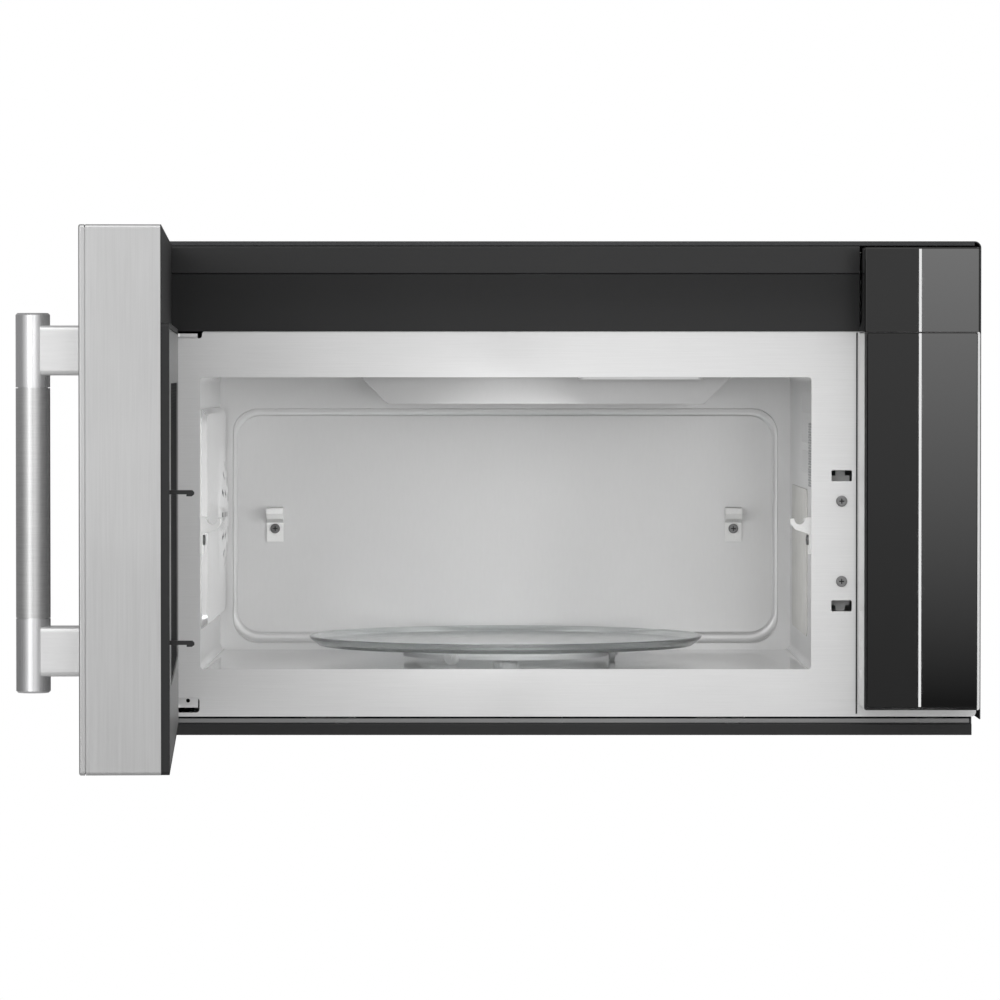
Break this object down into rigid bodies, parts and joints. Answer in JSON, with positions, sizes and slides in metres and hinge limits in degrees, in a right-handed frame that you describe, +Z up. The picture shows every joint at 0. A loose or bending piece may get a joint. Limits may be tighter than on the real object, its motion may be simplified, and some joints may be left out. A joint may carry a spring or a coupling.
{
  "type": "over the range microwave oven",
  "caption": "Over the range microwave oven with side-hinged door, bar handle, control column, turntable, convection fan and extractor blower.",
  "frame": {"origin": "middle of the rear face that is fastened to the wall", "axes": "+X to the right seen from the front, +Y into the wall, +Z up"},
  "size_m": [0.8014, 1.0597, 0.44],
  "materials": {
    "painted_steel": "satin dark grey paint",
    "zinc_steel": "zinc-coated sheet",
    "satin_steel": "satin stainless steel",
    "polished_steel": "brushed stainless steel",
    "cavity_steel": "rolled stainless steel",
    "black_gloss": "gloss black moulding",
    "black_matte": "black moulding",
    "black_glass": "black glass",
    "dark_window": "dark printed glass",
    "clear_glass": "clear glass",
    "grey_enamel": "grey enamel",
    "light_plastic": "pale moulding",
    "mica": "mica sheet",
    "aluminium": "aluminium",
    "core_steel": "laminated steel",
    "board": "circuit board"
  },
  "bodies": {
    "cabinet": {"wall_plate": "zinc_steel", "back_panel": "zinc_steel", "cabinet_cover": "painted_steel", "cord_gland": "black_matte", "base_pan": "painted_steel", "cooktop_lamp_lenses": "clear_glass", "cooktop_lamps": "clear_glass", "face_frame": "satin_steel", "pan_screws": "polished_steel", "cavity_liner": "cavity_steel", "ceiling_hump": "cavity_steel", "oven_lamp_cover": "cavity_steel", "oven_lamp": "clear_glass", "fan_cover": "cavity_steel", "fan_housing": "zinc_steel", "fan_heater": "polished_steel", "convection_motor": "zinc_steel", "waveguide_cover": "mica", "magnetron": "aluminium", "transformer": "core_steel", "capacitor": "aluminium", "rack_supports": "light_plastic", "latch_board": "black_matte", "interlock_switches": "black_matte", "top_strip": "black_gloss", "vent_band": "black_gloss", "bottom_strip": "satin_steel", "bottom_lip": "black_matte", "column_housing": "light_plastic", "column_fairing": "black_gloss", "column_bezel": "polished_steel", "control_glass": "black_glass", "control_board": "board", "hinge_brackets": "polished_steel", "blower_housing": "zinc_steel", "blower_motor": "zinc_steel", "turntable_motor": "zinc_steel"},
    "door": {"door_frame": "polished_steel", "door_face": "polished_steel", "door_window": "dark_window", "door_trim": "black_matte", "inner_panel": "grey_enamel", "inner_window": "dark_window", "hinge_blocks": "black_matte", "latch_guides": "black_matte", "handle_bar": "polished_steel", "handle_grip": "polished_steel", "handle_posts": "polished_steel", "handle_screws": "polished_steel"},
    "latch": {"latch_hooks": "black_matte"},
    "filter_left": {"grease_filter_left": "aluminium"},
    "filter_right": {"grease_filter_right": "aluminium"},
    "convection_rotor": {"convection_fan": "aluminium"},
    "blower_rotor": {"blower_wheels": "aluminium"},
    "turntable": {"glass_tray": "clear_glass", "drive_coupler": "light_plastic"},
    "roller_carrier": {"roller_ring": "light_plastic"},
    "roller_1": {"roller_1": "light_plastic"},
    "roller_2": {"roller_2": "light_plastic"},
    "roller_3": {"roller_3": "light_plastic"}
  },
  "joints": [
    {"name": "door_hinge", "type": "hinge", "parent": "cabinet", "child": "door", "pos_m": [-0.3587, -0.431, 0], "axis": [0, 0, 1], "range_deg": [-17.8, 87.2]},
    {"name": "latch_lift", "type": "slide", "parent": "door", "child": "latch", "axis": [0, 0, 1], "range_m": [0, 0.003], "stiffness_N_per_m": 400, "springref_m": -0.004},
    {"name": "filter_left_slide", "type": "slide", "parent": "cabinet", "child": "filter_left", "axis": [1, 0, 0], "range_m": [0, 0.012]},
    {"name": "filter_right_slide", "type": "slide", "parent": "cabinet", "child": "filter_right", "axis": [1, 0, 0], "range_m": [0, 0.012]},
    {"name": "convection_fan_spin", "type": "hinge", "parent": "cabinet", "child": "convection_rotor", "pos_m": [-0.33, -0.105, -0.03], "axis": [1, 0, 0], "continuous": true},
    {"name": "blower_spin", "type": "hinge", "parent": "cabinet", "child": "blower_rotor", "pos_m": [0, -0.09, 0.1585], "axis": [1, 0, 0], "continuous": true},
    {"name": "turntable_spin", "type": "hinge", "parent": "cabinet", "child": "turntable", "pos_m": [-0.0419, -0.212, -0.1552], "axis": [0, 0, 1], "continuous": true},
    {"name": "roller_ring_spin", "type": "hinge", "parent": "cabinet", "child": "roller_carrier", "pos_m": [-0.0419, -0.212, -0.1552], "axis": [0, 0, 1], "continuous": true},
    {"name": "roller_1_spin", "type": "hinge", "parent": "roller_carrier", "child": "roller_1", "pos_m": [0.0561, -0.212, -0.1552], "axis": [1, 0, 0], "continuous": true},
    {"name": "roller_2_spin", "type": "hinge", "parent": "roller_carrier", "child": "roller_2", "pos_m": [-0.0909, -0.12713, -0.1552], "axis": [-0.5, 0.866, 0], "continuous": true},
    {"name": "roller_3_spin", "type": "hinge", "parent": "roller_carrier", "child": "roller_3", "pos_m": [-0.0909, -0.29687, -0.1552], "axis": [-0.5, -0.866, 0], "continuous": true}
  ],
  "couplings": [
    {"joint": "roller_ring_spin", "follows": "turntable_spin", "ratio": 0.5},
    {"joint": "roller_1_spin", "follows": "turntable_spin", "ratio": -7},
    {"joint": "roller_2_spin", "follows": "turntable_spin", "ratio": -7},
    {"joint": "roller_3_spin", "follows": "turntable_spin", "ratio": -7}
  ]
}
